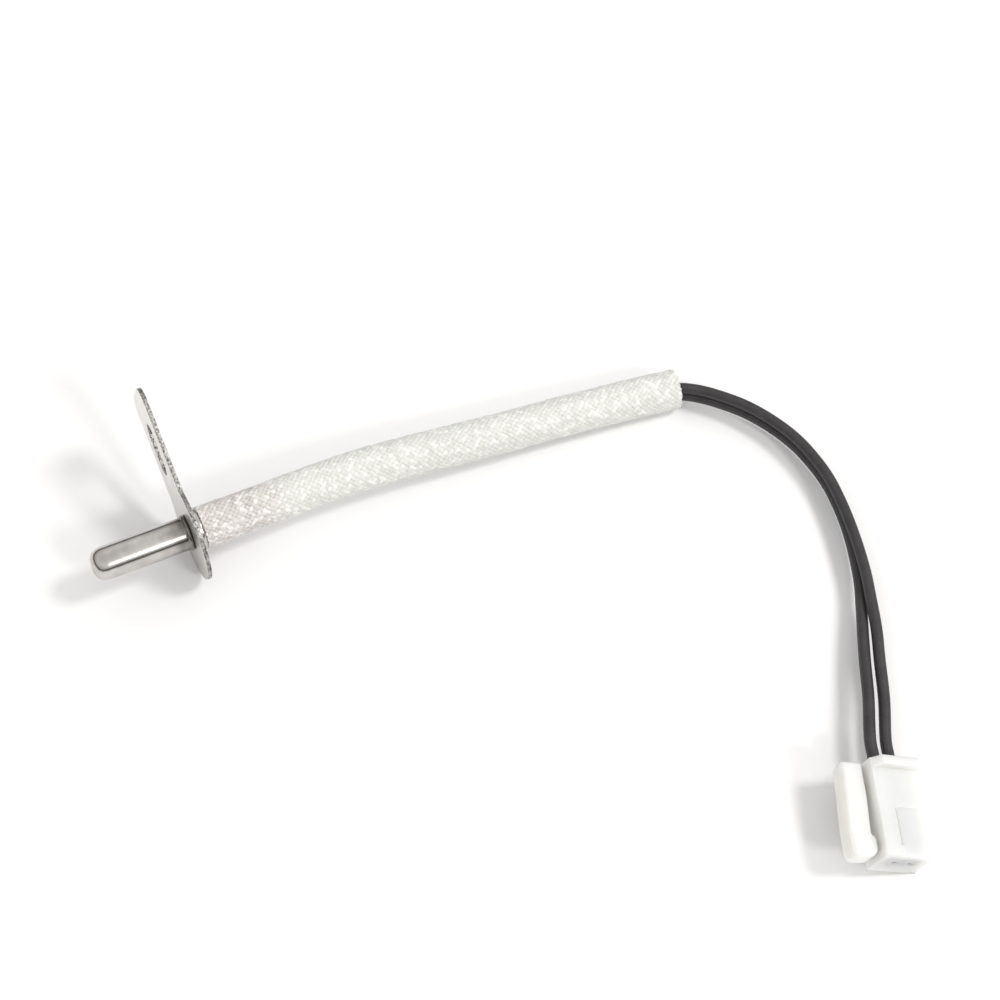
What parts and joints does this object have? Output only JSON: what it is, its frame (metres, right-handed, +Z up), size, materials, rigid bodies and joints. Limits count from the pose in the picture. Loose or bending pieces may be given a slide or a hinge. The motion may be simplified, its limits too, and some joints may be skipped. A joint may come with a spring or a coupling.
{
  "type": "sensor probe",
  "caption": "Round-nosed steel sensing probe with a slotted mounting flange, braided glass-fibre sleeve and flexible leads to a latching plug housing.",
  "frame": {"origin": "centre of the footprint of the rigid probe (sheath, flange and collar) on the surface it lies on; the free cord and what is on it are left out", "axes": "+X from the probe's nose towards the cord, tipped 3.3 degrees down from the nose along the sheath; +Y across the sheath towards the slotted tab's side; +Z up from the surface"},
  "size_m": [0.1063, 0.1113, 0.0215],
  "materials": {
    "sheath_steel": "drawn stainless tube, satin, lightly polished nose",
    "flange_steel": "stamped sheet, dull plated faces and rough sheared edges",
    "bead_glass": "sealed glass bead, amber",
    "lead_metal": "bare drawn wire, dull",
    "insulator_film": "thin polymer tube, slightly translucent",
    "contact_plating": "tin-plated brass, soft shine",
    "potting_resin": "cured casting resin, matte",
    "glass_braid": "varnished glass-fibre braid, off-white, matte",
    "natural_nylon": "moulded natural nylon, ivory, slightly glossy",
    "wire_jacket": "extruded flexible jacket, charcoal, satin",
    "bare_copper": "stripped stranded copper, tinned at the tip"
  },
  "bodies": {
    "probe_and_cord": {"probe_shell": "sheath_steel", "mounting_flange": "flange_steel", "retaining_collar": "sheath_steel", "thermistor_bead": "bead_glass", "element_lead_a": "lead_metal", "element_lead_b": "lead_metal", "lead_insulator_a": "insulator_film", "lead_insulator_b": "insulator_film", "splice_a": "contact_plating", "splice_b": "contact_plating", "potting_plug": "potting_resin", "braided_sleeve": "glass_braid", "connector_housing": "natural_nylon", "wire_a": "wire_jacket", "wire_b": "wire_jacket", "conductor_end_a": "bare_copper", "conductor_end_b": "bare_copper", "terminal_a": "contact_plating", "terminal_b": "contact_plating"},
    "latch": {"latch_lever": "natural_nylon"}
  },
  "joints": [
    {"name": "latch_flex", "type": "hinge", "parent": "probe_and_cord", "child": "latch", "pos_m": [0.06909, -0.08328, 0.00577], "axis": [0.3151, -0.1331, 0.9397], "range_deg": [-6, 1], "stiffness_Nm_per_rad": 0.05}
  ]
}
